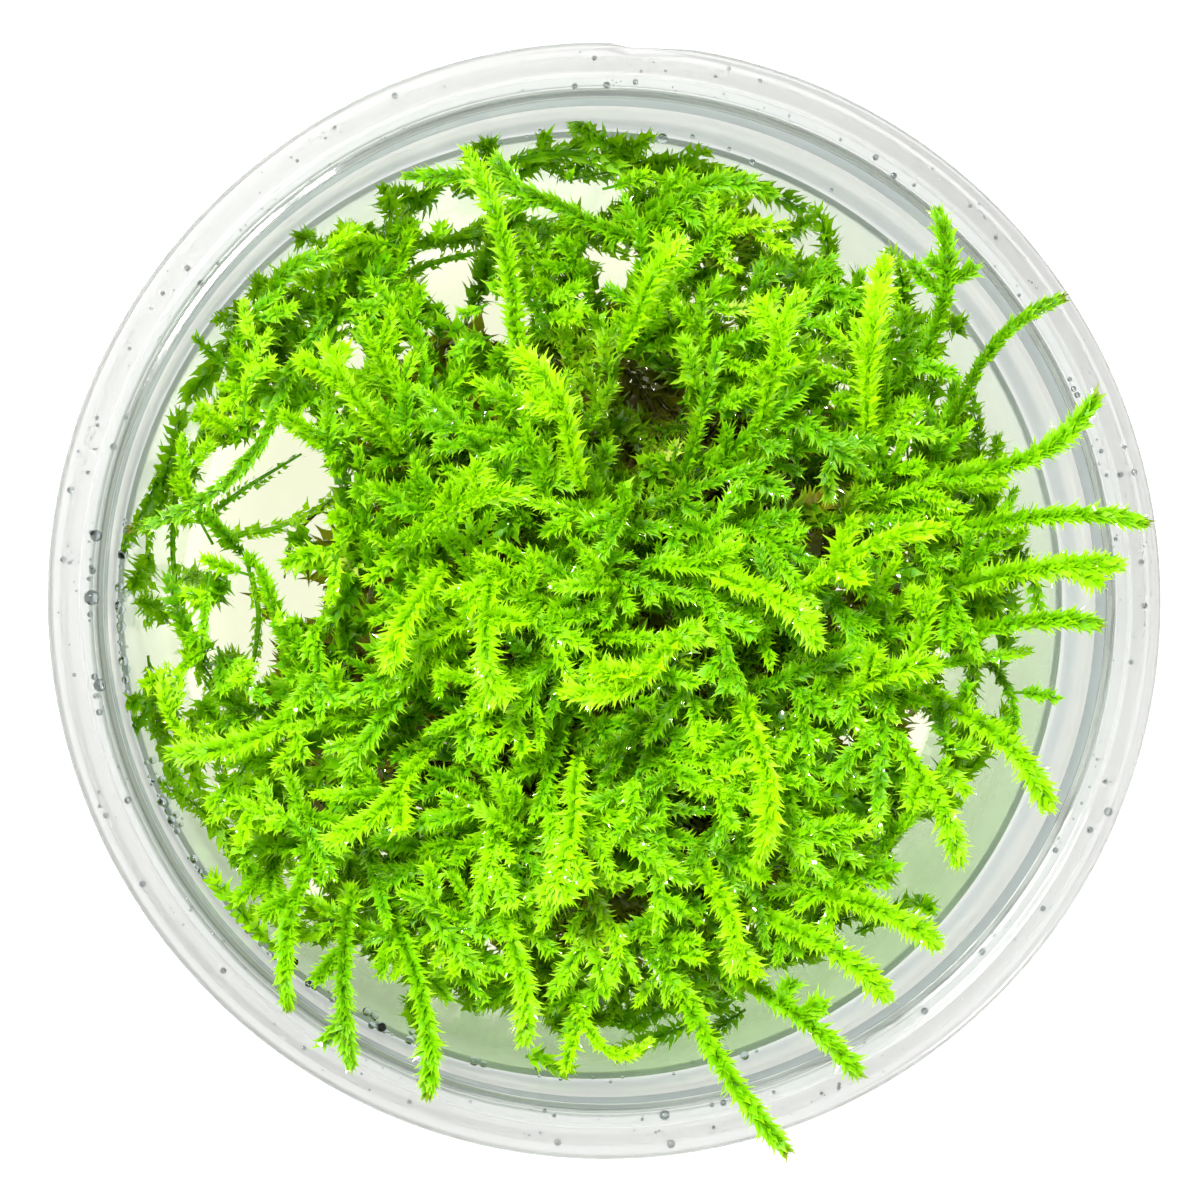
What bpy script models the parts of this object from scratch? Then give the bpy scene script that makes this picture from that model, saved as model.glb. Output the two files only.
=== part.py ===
# Moss growing in its round culture cup, Blender 4.5.
# Lengths in this file are in millimetres and become metres through MM.
# The origin is on the ground under the middle of the cup; +Z is up.

import math
import bpy
from mathutils import Vector

MM = 0.001

# The cup
RIM_RADIUS = 40.0          # outer edge of the flange
CUP_HEIGHT = 45.0          # top of the flange above the ground
WALL = 0.9                 # thickness of the wall, floor and flange
THROAT_RADIUS = 36.0       # inside of the upright collar below the flange
LEDGE_HEIGHT = 31.0        # where the collar steps in to the tapered wall
LEDGE_DROP = 0.6           # height of that step
LEDGE_RADIUS = 35.5        # inside of the collar at the ledge
SHOULDER_RADIUS = 35.1     # inside of the tapered wall, just under the ledge
BASE_RADIUS = 31.0         # inside of the tapered wall at its foot
FLOOR_HEIGHT = 1.8         # top of the floor
FLOOR_FILLET = 3.0         # round between floor and wall
FOOT_OUTER = 29.5          # ring that the cup stands on
FOOT_INNER = 28.0
FOOT_FLARE = (0.9, 1.3)    # from the foot's outer edge out and up to the wall
SKIRT_HEIGHT = 39.0        # lower edge of the skirt that hangs from the flange
SEAT_STEP = 0.55           # how far the lid seat lies below the flange's top
SEAT_RADIUS = 37.6         # outer edge of the lid seat
CUP_STEPS = 72             # sides of the turned solid
TAB_NOTCH = (0.7, 10.0)    # along x, where the tear tab was
TAB_NOTCH_DEPTH = 0.45
TAB_CUTTER = (2.0, 10.0)   # the cutter's width and height

# The moss
GAP = 0.6                  # between the moss and the cup
MAT_BOTTOM = 2.4
MAT_TOP = 7.6
MAT_DROP = 0.4
MAT_RADIUS = 30.0
MAT_MESH = (36, 8)         # segments and rings
CUSHION_BOTTOM = 8.2
CUSHION_TOP = 42.0         # in the middle
CUSHION_DROP = 4.5         # from the middle to the wall
CUSHION_RADIUS = 34.5      # before the wall and the pockets trim it
CUSHION_MESH = (48, 16)
ROUNDNESS = 0.6            # 1 is a ball, less is boxier
EDGE_WAVES = ((5, 0.7, 0.6), (11, 0.5, 0.0))   # waves round the edge, their size and phase
POCKETS = (                # bearing in degrees, depth and half width in degrees
    (184.0, 12.5, 17.0),
    (121.0, 12.0, 13.0),
    (-37.0, 6.5, 12.0),
)

SHOOT_RADIUS = 1.15        # to the leaf tips
SHOOT_CLEARANCE = 2.0      # from the cushion's top to the middle of a shoot's root
SHOOT_POINTS = 8
SHOOT_SIDES = 1            # bevel_resolution, which gives six sides

# Long shoots that stand clear of the cushion: root (x, y), tip (x, y, z),
# sideways bow (to the left of the way from root to tip) and upward arch
SHOOTS = (
    ((23.4, 17.6), (23.2, 27.8, 47.5), -0.8, 0.8),
    ((26.0, 13.8), (32.4, 21.6, 47.5), 1.6, 1.2),
    ((25.0, 9.2), (34.4, 14.4, 49.0), -1.6, 0.6),
    ((27.0, 5.4), (38.0, 5.4, 48.5), 0.6, 1.4),
    ((26.6, 1.3), (36.2, 2.4, 48.5), 0.4, 1.2),
    ((26.4, -2.4), (35.0, -1.8, 46.5), 0.6, 0.8),
    ((25.6, -7.8), (31.4, -15.0, 46.0), 0.8, 0.8),
    ((21.4, -10.6), (25.0, -19.0, 45.5), 0.5, 0.8),
    ((16.0, -21.4), (23.4, -24.8, 46.0), 0.6, 1.0),
    ((12.6, -23.4), (19.8, -28.6, 46.0), 0.6, 1.0),
    ((9.6, -27.2), (17.4, -33.8, 47.6), 0.5, 0.9),
    ((5.4, -28.0), (12.2, -39.2, 47.6), -0.6, 0.9),
    ((-15.0, -24.0), (-13.2, -35.0, 47.4), 0.8, 1.0),
    ((-18.6, -22.4), (-18.6, -33.0, 47.2), -0.5, 1.0),
    ((-21.6, -19.6), (-23.0, -29.0, 45.6), -0.8, 0.8),
    ((-23.0, 16.4), (-34.4, 5.0, 41.2), 2.6, 1.6),
    ((-1.0, 27.6), (-14.6, 30.6, 41.4), -1.0, 0.4),
    ((4.0, 28.0), (12.2, 29.4, 42.2), 1.6, 0.6),
    ((-24.6, 20.4), (-20.0, 24.8, 40.4), 1.4, 0.4),
    ((-6.6, 19.6), (-10.4, 32.0, 45.4), -0.6, 1.0),
    ((3.8, -3.6), (-3.8, -6.6, 49.0), 1.4, 0.8),
    ((19.0, 12.4), (19.4, 24.2, 48.0), 0.8, 1.0),
    ((9.0, 1.2), (14.4, -3.4, 48.6), 0.8, 1.0),
    ((10.2, -9.0), (10.4, -18.6, 47.0), 0.8, 1.0),
    ((15.4, 1.6), (23.4, 5.0, 48.0), 0.8, 1.0),
    ((18.0, -6.4), (23.4, -4.8, 46.8), 0.6, 0.8),
    ((-2.8, 10.6), (-6.8, 17.4, 47.6), -0.8, 0.8),
    ((-13.4, 5.0), (-6.2, 7.4, 47.4), 0.8, 0.8),
    ((-12.8, 0.8), (-16.0, -5.0, 47.0), -0.6, 0.8),
    ((-8.6, 0.4), (-8.4, -7.4, 47.4), -0.6, 0.8),
    ((-2.6, -14.0), (-5.0, -21.2, 46.6), 0.6, 0.8),
    ((-14.4, -12.6), (-20.2, -17.2, 46.0), 0.6, 0.8),
    ((-16.4, 12.6), (-20.4, 18.2, 45.4), 0.6, 0.8),
    ((2.0, 20.2), (5.2, 25.6, 45.8), 0.6, 0.8),
    ((11.4, 13.6), (13.4, 21.8, 47.0), 0.6, 0.8),
    ((-22.6, -8.4), (-31.4, -11.0, 43.4), 0.8, 0.8),
    ((7.4, -20.4), (8.6, -26.4, 46.2), 0.6, 0.6),
    ((-7.6, -22.8), (-6.2, -31.6, 44.6), 0.6, 0.8),
)

# colour, roughness, transmission
FINISHES = {
    "clear_plastic": ((0.90, 0.93, 0.90, 1.0), 0.12, 0.9),
    "old_moss": ((0.085, 0.105, 0.008, 1.0), 0.7, 0.0),
    "young_moss": ((0.17, 0.46, 0.012, 1.0), 0.45, 0.0),
    "shoot_moss": ((0.34, 0.72, 0.018, 1.0), 0.4, 0.0),
}


def clear_scene():
    for ob in list(bpy.data.objects):
        bpy.data.objects.remove(ob)


def new_collection(name):
    collection = bpy.data.collections.new(name)
    bpy.context.scene.collection.children.link(collection)
    return collection


def make_material(name):
    colour, roughness, transmission = FINISHES[name]
    material = bpy.data.materials.new(name)
    material.use_nodes = True
    shader = material.node_tree.nodes["Principled BSDF"]
    shader.inputs["Base Color"].default_value = colour
    shader.inputs["Roughness"].default_value = roughness
    shader.inputs["Transmission Weight"].default_value = transmission
    material.diffuse_color = colour
    return material


def put(ob, collection, material=None):
    for old in list(ob.users_collection):
        old.objects.unlink(ob)
    collection.objects.link(ob)
    if material:
        ob.data.materials.append(material)
    return ob


def arc(centre_r, centre_z, radius, start, end, steps):
    # points of an arc in the profile plane, angles in degrees from +X
    points = []
    for i in range(steps + 1):
        angle = math.radians(start + (end - start) * i / steps)
        points.append((centre_r + radius * math.cos(angle), centre_z + radius * math.sin(angle)))
    return points


def cup_profile():
    # from the middle of the floor up the inside, over the rim and down the outside
    fillet_r = BASE_RADIUS - FLOOR_FILLET
    fillet_z = FLOOR_HEIGHT + FLOOR_FILLET
    flange_under = CUP_HEIGHT - SEAT_STEP - WALL
    profile = [(0.0, FLOOR_HEIGHT)]
    profile += arc(fillet_r, fillet_z, FLOOR_FILLET, -90.0, 0.0, 3)
    profile += [
        (SHOULDER_RADIUS, LEDGE_HEIGHT - LEDGE_DROP),
        (LEDGE_RADIUS, LEDGE_HEIGHT),
        (THROAT_RADIUS, CUP_HEIGHT - SEAT_STEP - 0.4),
        (THROAT_RADIUS + 0.35, CUP_HEIGHT - SEAT_STEP),
        (SEAT_RADIUS, CUP_HEIGHT - SEAT_STEP),
        (SEAT_RADIUS + 0.3, CUP_HEIGHT),
    ]
    profile += arc(RIM_RADIUS - 0.6, CUP_HEIGHT - 0.6, 0.6, 90.0, 0.0, 2)
    profile += [
        (RIM_RADIUS, SKIRT_HEIGHT),
        (RIM_RADIUS - WALL, SKIRT_HEIGHT),
        (RIM_RADIUS - WALL, flange_under),
        (THROAT_RADIUS + WALL, flange_under),
        (LEDGE_RADIUS + WALL, LEDGE_HEIGHT - 0.3),
        (SHOULDER_RADIUS + WALL, LEDGE_HEIGHT - LEDGE_DROP - 0.3),
        (BASE_RADIUS + WALL, fillet_z),
        (FOOT_OUTER + FOOT_FLARE[0], FOOT_FLARE[1]),
        (FOOT_OUTER, 0.0),
        (FOOT_INNER, 0.0),
        (FOOT_INNER - 0.5, WALL),
        (0.0, WALL),
    ]
    return profile


def inner_wall_radius(z):
    # inside of the cup at height z
    if z >= LEDGE_HEIGHT:
        rise = (z - LEDGE_HEIGHT) / (CUP_HEIGHT - LEDGE_HEIGHT)
        return LEDGE_RADIUS + (THROAT_RADIUS - LEDGE_RADIUS) * rise
    foot = FLOOR_HEIGHT + FLOOR_FILLET
    if z >= foot:
        rise = (z - foot) / (LEDGE_HEIGHT - LEDGE_DROP - foot)
        return BASE_RADIUS + (SHOULDER_RADIUS - BASE_RADIUS) * min(rise, 1.0)
    drop = min(foot - z, FLOOR_FILLET)
    return BASE_RADIUS - FLOOR_FILLET + math.sqrt(FLOOR_FILLET ** 2 - drop ** 2)


def make_cup(collection, cutters):
    profile = cup_profile()
    mesh = bpy.data.meshes.new("culture_cup")
    points = [(r * MM, 0.0, z * MM) for r, z in profile]
    edges = [(i, i + 1) for i in range(len(points) - 1)]
    mesh.from_pydata(points, edges, [])
    cup = put(bpy.data.objects.new("culture_cup", mesh), collection, make_material("clear_plastic"))
    screw = cup.modifiers.new("turn", 'SCREW')
    screw.axis = 'Z'
    screw.angle = math.tau
    screw.steps = CUP_STEPS
    screw.render_steps = CUP_STEPS
    screw.use_merge_vertices = True
    screw.merge_threshold = 0.00001
    screw.use_smooth_shade = True

    # the short flat left where the tab was torn off
    start, end = TAB_NOTCH
    width, height = TAB_CUTTER
    bpy.ops.mesh.primitive_cube_add(size=1.0)
    cutter = bpy.context.object
    cutter.name = "tab_notch_cutter"
    cutter.scale = ((end - start) * MM, width * MM, height * MM)
    cutter.location = (
        (start + end) / 2 * MM,
        (RIM_RADIUS - TAB_NOTCH_DEPTH + width / 2) * MM,
        (CUP_HEIGHT - height / 2 + 1.0) * MM,
    )
    cutter.display_type = 'WIRE'
    cutter.hide_render = True
    put(cutter, cutters)
    cut = cup.modifiers.new("tab notch", 'BOOLEAN')
    cut.operation = 'DIFFERENCE'
    cut.object = cutter
    return cup


def outline_radius(bearing, radius):
    # the clump's edge, drawn in where daylight shows between moss and wall
    degrees = math.degrees(bearing)
    edge = radius + sum(size * math.sin(count * bearing + phase) for count, size, phase in EDGE_WAVES)
    for where, depth, width in POCKETS:
        off = (degrees - where + 180.0) % 360.0 - 180.0
        edge -= depth * math.exp(-(off / width) ** 2)
    return edge


def cushion_rise(unit_z, bearing, reach, drop):
    # lumps and a gentle fall towards the wall, on the upper half only
    lumps = 0.7 * math.sin(4 * bearing + 7 * reach) * math.sin(9 * reach)
    return unit_z * (lumps * reach - drop * reach ** 2)


def make_clump(name, bottom, top, drop, radius, fineness, material, collection):
    # a soft round body between two heights, trimmed to the pockets and the wall
    segments, rings = fineness
    bpy.ops.mesh.primitive_uv_sphere_add(segments=segments, ring_count=rings, radius=1.0)
    clump = bpy.context.object
    clump.name = name
    clump.data.name = name
    middle = (bottom + top) / 2
    for vertex in clump.data.vertices:
        x, y, z = vertex.co
        bearing = math.atan2(y, x)
        reach = math.hypot(x, y) ** ROUNDNESS
        swell = math.copysign(abs(z) ** ROUNDNESS, z)
        height = middle + swell * (top - bottom) / 2
        height += cushion_rise(max(z, 0.0), bearing, reach, drop)
        edge = min(outline_radius(bearing, radius), inner_wall_radius(height) - GAP)
        edge *= reach
        vertex.co = (
            edge * math.cos(bearing) * MM,
            edge * math.sin(bearing) * MM,
            height * MM,
        )
    clump.data.shade_smooth()
    return put(clump, collection, material)


def cushion_top(x, y):
    # height of the cushion's upper surface
    bearing = math.atan2(y, x)
    reach = min(math.hypot(x, y) / outline_radius(bearing, CUSHION_RADIUS), 0.97)
    unit_z = math.sqrt(1.0 - reach ** (2 / ROUNDNESS))
    height = (CUSHION_BOTTOM + CUSHION_TOP) / 2
    height += unit_z ** ROUNDNESS * (CUSHION_TOP - CUSHION_BOTTOM) / 2
    return height + cushion_rise(unit_z, bearing, reach, CUSHION_DROP)


def shoot_path(root, tip, bow, arch):
    # up from the cushion and over towards the tip, bowed sideways
    start = Vector((*root, cushion_top(*root) + SHOOT_CLEARANCE))
    way = Vector(tip) - start
    side = Vector((-way.y, way.x, 0.0)).normalized()
    points = []
    for i in range(SHOOT_POINTS):
        s = i / (SHOOT_POINTS - 1)
        hump = 4 * s * (1 - s)
        point = start + way * s + side * (bow * hump)
        point.z = start.z + way.z * (1 - (1 - s) ** 2) + arch * hump
        points.append(point)
    return points


def make_shoot(name, root, tip, bow, arch, material, collection):
    curve = bpy.data.curves.new(name, 'CURVE')
    curve.dimensions = '3D'
    curve.bevel_depth = SHOOT_RADIUS * MM
    curve.bevel_resolution = SHOOT_SIDES
    curve.use_fill_caps = True
    spline = curve.splines.new('POLY')
    spline.points.add(SHOOT_POINTS - 1)
    for i, place in enumerate(shoot_path(root, tip, bow, arch)):
        s = i / (SHOOT_POINTS - 1)
        spline.points[i].co = (*(place * MM), 1.0)
        spline.points[i].radius = 0.75 + 0.25 * math.sin(math.pi * min(1.0, 1.6 * s)) - 0.4 * s ** 3
    return put(bpy.data.objects.new(name, curve), collection, material)


def main():
    clear_scene()
    parts = new_collection("moss_clump_in_culture_cup")
    cutters = new_collection("cutters")
    make_cup(parts, cutters)
    make_clump("old_growth_mat", MAT_BOTTOM, MAT_TOP, MAT_DROP, MAT_RADIUS, MAT_MESH,
               make_material("old_moss"), parts)
    make_clump("moss_cushion", CUSHION_BOTTOM, CUSHION_TOP, CUSHION_DROP, CUSHION_RADIUS, CUSHION_MESH,
               make_material("young_moss"), parts)
    shoot_material = make_material("shoot_moss")
    for number, shoot in enumerate(SHOOTS, start=1):
        make_shoot(f"shoot_{number:02d}", *shoot, shoot_material, parts)


main()
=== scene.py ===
import math
import bpy
import numpy as np
from mathutils import Matrix, Vector


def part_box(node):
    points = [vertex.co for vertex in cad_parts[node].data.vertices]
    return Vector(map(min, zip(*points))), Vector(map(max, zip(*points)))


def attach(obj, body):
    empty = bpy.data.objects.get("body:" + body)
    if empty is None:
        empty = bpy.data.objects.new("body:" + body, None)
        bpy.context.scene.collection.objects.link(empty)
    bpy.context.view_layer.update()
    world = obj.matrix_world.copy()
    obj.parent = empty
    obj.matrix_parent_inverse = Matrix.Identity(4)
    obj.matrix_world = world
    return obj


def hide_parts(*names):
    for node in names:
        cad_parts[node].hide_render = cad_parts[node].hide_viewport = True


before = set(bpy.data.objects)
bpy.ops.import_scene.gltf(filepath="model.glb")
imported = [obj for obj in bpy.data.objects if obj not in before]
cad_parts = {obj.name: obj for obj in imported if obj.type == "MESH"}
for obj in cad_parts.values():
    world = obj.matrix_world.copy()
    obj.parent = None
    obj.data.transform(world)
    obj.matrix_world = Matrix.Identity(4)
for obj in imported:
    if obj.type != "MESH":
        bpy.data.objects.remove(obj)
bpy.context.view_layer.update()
mm = 0.001
up = np.array([0.0, 0.0, 1.0])
print("frame loaded:", len(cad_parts), "nodes")


def unit(v):
    return v / np.maximum(np.linalg.norm(v, axis=-1, keepdims=True), 1e-9)


def polar(reach, bearing, z):
    return np.stack([reach * np.cos(bearing), reach * np.sin(bearing), z], axis=-1)


def meshFrom(name, points, faces):
    # points in millimetres; faces is a list of index arrays, each with its own number of corners
    mesh = bpy.data.meshes.new(name)
    corners = np.concatenate([f.ravel() for f in faces]).astype(np.int32)
    sizes = np.concatenate([np.full(len(f), f.shape[1]) for f in faces])
    starts = np.concatenate(([0], np.cumsum(sizes)[:-1])).astype(np.int32)
    mesh.vertices.add(len(points))
    mesh.vertices.foreach_set("co", (points * mm).astype(np.float32).ravel())
    mesh.loops.add(len(corners))
    mesh.loops.foreach_set("vertex_index", corners)
    mesh.polygons.add(len(sizes))
    mesh.polygons.foreach_set("loop_start", starts)
    mesh.polygons.foreach_set("use_smooth", np.ones(len(sizes), dtype=bool))
    mesh.update(calc_edges=True)
    return mesh, corners


def ringQuads(rings, around):
    # faces between neighbouring rings of points
    r = np.arange(rings - 1)[:, None] * around
    k = np.arange(around)[None]
    after = (k + 1) % around
    return np.stack([r + k, r + around + k, r + around + after, r + after], axis=2).reshape(-1, 4)


def ringCaps(first, last, ring, around):
    # fans from one point to the first ring and from another to the ring that starts at index ring
    k = np.arange(around)
    after = (k + 1) % around
    return np.concatenate([np.stack([np.full(around, first), k, after], axis=1),
                           np.stack([np.full(around, last), ring + after, ring + k], axis=1)])


def place(name, mesh, material, slot, *nodes):
    # a piece of the object: rides with the cup and stands for some of the solids
    piece = bpy.data.objects.new(name, mesh)
    bpy.context.scene.collection.objects.link(piece)
    mesh.materials.append(material)
    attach(piece, "root")
    if nodes:
        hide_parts(*nodes)
    return piece


class Wire:
    # one output socket, so that masks can be written as sums and products
    def __init__(self, tree, socket):
        self.tree = tree
        self.socket = socket

    def calc(self, operation, first, second):
        node = self.tree.nodes.new("ShaderNodeMath")
        node.operation = operation
        for slot, value in zip(node.inputs, (first, second)):
            if isinstance(value, Wire):
                self.tree.links.new(value.socket, slot)
            else:
                slot.default_value = value
        return Wire(self.tree, node.outputs[0])

    def __add__(self, other):
        return self.calc("ADD", self, other)

    def __radd__(self, other):
        return self.calc("ADD", other, self)

    def __sub__(self, other):
        return self.calc("SUBTRACT", self, other)

    def __rsub__(self, other):
        return self.calc("SUBTRACT", other, self)

    def __mul__(self, other):
        return self.calc("MULTIPLY", self, other)

    def __rmul__(self, other):
        return self.calc("MULTIPLY", other, self)

    def __gt__(self, other):
        return self.calc("GREATER_THAN", self, other)

    def __pow__(self, other):
        return self.calc("POWER", self, other)


class Finish:
    # a material and its node tree
    def __init__(self, name):
        self.material = bpy.data.materials.new(name)
        self.material.use_nodes = True
        self.tree = self.material.node_tree
        self.tree.nodes.clear()

    def make(self, kind, settings=None, values=None):
        made = self.tree.nodes.new(kind)
        for key, value in (settings or {}).items():
            if key == "stops":
                ramp = made.color_ramp.elements
                while len(ramp) < len(value):
                    ramp.new(0.5)
                for stop, (position, colour) in zip(ramp, value):
                    stop.position = position
                    stop.color = (*colour, 1.0)
            else:
                setattr(made, key, value)
        for key, value in (values or {}).items():
            if isinstance(value, Wire):
                self.tree.links.new(value.socket, made.inputs[key])
            else:
                made.inputs[key].default_value = value
        return made

    def node(self, kind, settings=None, values=None, output=0):
        return Wire(self.tree, self.make(kind, settings, values).outputs[output])

    def mixColour(self, amount, *colours):
        first, second = (c if isinstance(c, Wire) else (*c, 1.0) for c in colours)
        return self.node("ShaderNodeMix", {"data_type": "RGBA"}, {0: amount, 6: first, 7: second}, output=2)

    def noise(self, scale, detail=2.0):
        spot = self.node("ShaderNodeTexCoord", output="Object")
        values = {"Vector": spot, "Scale": scale, "Detail": detail}
        return self.node("ShaderNodeTexNoise", None, values, output="Fac")

    def parts(self, vector):
        split = self.make("ShaderNodeSeparateXYZ", None, {0: vector})
        return [Wire(self.tree, split.outputs[k]) for k in range(3)]

    def end(self, shader):
        out = self.tree.nodes.new("ShaderNodeOutputMaterial")
        self.tree.links.new(shader.socket, out.inputs["Surface"])
        return self.material


cup = {
    "rim": 40.0, "height": 45.0, "wall": 0.9,
    "throat": 36.0, "ledge": 31.0, "ledgeDrop": 0.6, "ledgeRadius": 35.5, "shoulder": 35.1,
    "base": 31.0, "floor": 1.8, "fillet": 3.0,
    "footOuter": 29.5, "footInner": 28.0, "skirt": 39.0,
    "seatStep": 0.55, "seatRadius": 37.6, "bead": 0.14,
    "sides": 288, "notch": (0.7, 10.0), "notchDepth": 0.45,
    "waves": ((7, 0.05, 1.0), (19, 0.035, 0.0), (41, 0.02, 2.0)),   # round the flange: count, size, phase
    "flange": (0.90, 0.902, 0.89), "seat": (0.80, 0.83, 0.80), "collar": (0.94, 0.955, 0.91),
    # the wall's greens are painted reflection of the moss; the right side's darker green is also painted
    # shade
    "taper": (0.86, 0.94, 0.70), "taperTopMossReflection": (0.73, 0.81, 0.66), "taperRightReflectionAndShade": (0.44, 0.63, 0.29),
    # the bottom's yellow-green is painted light that came through the moss
    "bottom": (0.97, 0.99, 0.80),
    # share of milk at the floor, up the wall, in the collar, in the lid seat and in the flange
    "milk": (0.62, 0.34, 0.58, 0.34, 0.46), "cloudiness": 0.3,
    # where each zone begins, in metres: wall and collar by height, lid seat and flange by radius
    "wallFrom": 0.0045, "collarFrom": 0.031, "seatFrom": 0.0361, "flangeFrom": 0.0377,
    # the two fine lines in the lid seat, where less light gets through: painted shade
    "grooveShadeLines": ((0.03588, 0.03606), (0.03640, 0.03658)), "grooveShade": (0.40, 0.47, 0.47),
}


def innerRadius(z):
    # inside of the cup at height z, for arrays
    foot = cup["floor"] + cup["fillet"]
    taper = np.clip((z - foot) / (cup["ledge"] - cup["ledgeDrop"] - foot), 0, 1)
    wall = cup["base"] + (cup["shoulder"] - cup["base"]) * taper
    drop = np.clip(foot - z, 0, cup["fillet"])
    curved = cup["base"] - cup["fillet"] + np.sqrt(cup["fillet"] ** 2 - drop ** 2)
    collar = cup["ledgeRadius"] + (z - cup["ledge"]) / (cup["height"] - cup["ledge"]) * (
        cup["throat"] - cup["ledgeRadius"])
    return np.where(z >= cup["ledge"], collar, np.where(z < foot, curved, wall))


def arc(cr, cz, radius, start, end, steps):
    angles = np.radians(np.linspace(start, end, steps + 1))
    return [(cr + radius * math.cos(a), cz + radius * math.sin(a)) for a in angles]


def between(start, end, shares):
    # points on the straight line from start to end
    return [(start[0] + t * (end[0] - start[0]), start[1] + t * (end[1] - start[1])) for t in shares]


def cupProfile():
    # from the middle of the floor up the inside, over the rim and down the outside
    c = cup
    seat = c["height"] - c["seatStep"]
    foot = c["floor"] + c["fillet"]
    under = seat - c["wall"]
    outer, skin = c["shoulder"] + c["wall"], c["base"] + c["wall"]
    points = [(0.0, c["floor"]), (9.0, c["floor"]), (19.0, c["floor"])]
    points += arc(c["base"] - c["fillet"], foot, c["fillet"], -90, 0, 8)
    points += between((c["base"], foot), (c["shoulder"], c["ledge"] - c["ledgeDrop"]),
                      (0.25, 0.5, 0.75, 0.97))
    points += [(c["shoulder"] + 0.04, c["ledge"] - 0.5), (c["shoulder"] + 0.2, c["ledge"] - 0.25),
               (c["ledgeRadius"] - 0.05, c["ledge"] - 0.02)]
    collar = between((c["ledgeRadius"], c["ledge"]), (c["throat"], seat), (0.25, 0.5, 0.62, 0.68, 0.74, 0.9))
    collar[3] = (collar[3][0] - c["bead"], collar[3][1])     # the rib that the lid's lip snaps past
    points += collar
    # a fine bead and groove where the collar meets the lid seat
    points += arc(c["throat"] + 0.14, seat - 0.12, 0.14, 180, 60, 4)
    points += [(c["throat"] + 0.5, seat - 0.07)]
    points += arc(c["throat"] + 0.85, seat - 0.10, 0.10, 180, 90, 2)
    points += arc(c["seatRadius"] - 0.18, seat + 0.18, 0.18, -90, -10, 3)
    points += arc(c["seatRadius"] + 0.3, c["height"] - 0.22, 0.22, 170, 90, 3)
    points += arc(c["rim"] - 0.55, c["height"] - 0.55, 0.55, 90, 0, 6)
    points += [(c["rim"], 42.5)]
    points += arc(c["rim"] - 0.25, c["skirt"] + 0.25, 0.25, 0, -90, 2)
    points += arc(c["rim"] - c["wall"] + 0.25, c["skirt"] + 0.25, 0.25, -90, -180, 2)
    points += arc(c["rim"] - c["wall"] - 0.4, under - 0.4, 0.4, 0, 90, 3)
    points += arc(c["throat"] + c["wall"] + 0.4, under - 0.4, 0.4, 90, 180, 3)
    points += [(c["ledgeRadius"] + c["wall"], c["ledge"] + 0.1),
               (outer + 0.2, c["ledge"] - 0.4), (outer + 0.03, c["ledge"] - 0.9)]
    points += between((skin, foot), (outer, c["ledge"] - 2), (0.75, 0.5, 0.25))
    points += arc(c["base"] - c["fillet"], foot, c["fillet"] + c["wall"], 0, -58, 6)
    points += [(c["footOuter"] - 0.1, 0.3), (c["footOuter"] - 0.6, 0.0), (c["footInner"] + 0.3, 0.0)]
    points += [(c["footInner"] - 0.6, 0.35), (c["footInner"] - 2.4, c["wall"]),
               (14.0, c["wall"]), (0.0, c["wall"])]
    return np.array(points)


def makeCup():
    profile = cupProfile()
    sides, rows = cup["sides"], len(profile)
    turn = np.linspace(0, math.tau, sides, endpoint=False)
    radius, height = profile[1:-1, 0], profile[1:-1, 1]
    # the flange is a little uneven all round, the wall hardly
    wave = sum(size * np.sin(count * turn + phase) for count, size, phase in cup["waves"])
    sag = wave[None, :] * np.clip((height - 38) / 7, 0, 1)[:, None]
    x, y, z = np.moveaxis(polar(radius[:, None], turn, height[:, None] + np.minimum(sag, 0.0)), 2, 0)
    # the short flat where the tear tab was
    start, end = cup["notch"]
    limit = cup["rim"] - cup["notchDepth"]
    ease = np.clip((x - start) / 0.35, 0, 1) * np.clip((end - x) / 0.9, 0, 1)
    y = np.where((y > limit) & (ease > 0), y - ease * (y - limit), y)
    grid = np.stack([x, y, z], axis=2).reshape(-1, 3)
    points = np.vstack([grid, [[0, 0, profile[0, 1]]], [[0, 0, profile[-1, 1]]]])
    caps = ringCaps(len(points) - 2, len(points) - 1, (rows - 3) * sides, sides)
    mesh, _ = meshFrom("cup_body", points, [ringQuads(rows - 2, sides), caps])
    place("cup_body", mesh, milkyPlastic(), "clear_plastic", "culture_cup")


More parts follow.
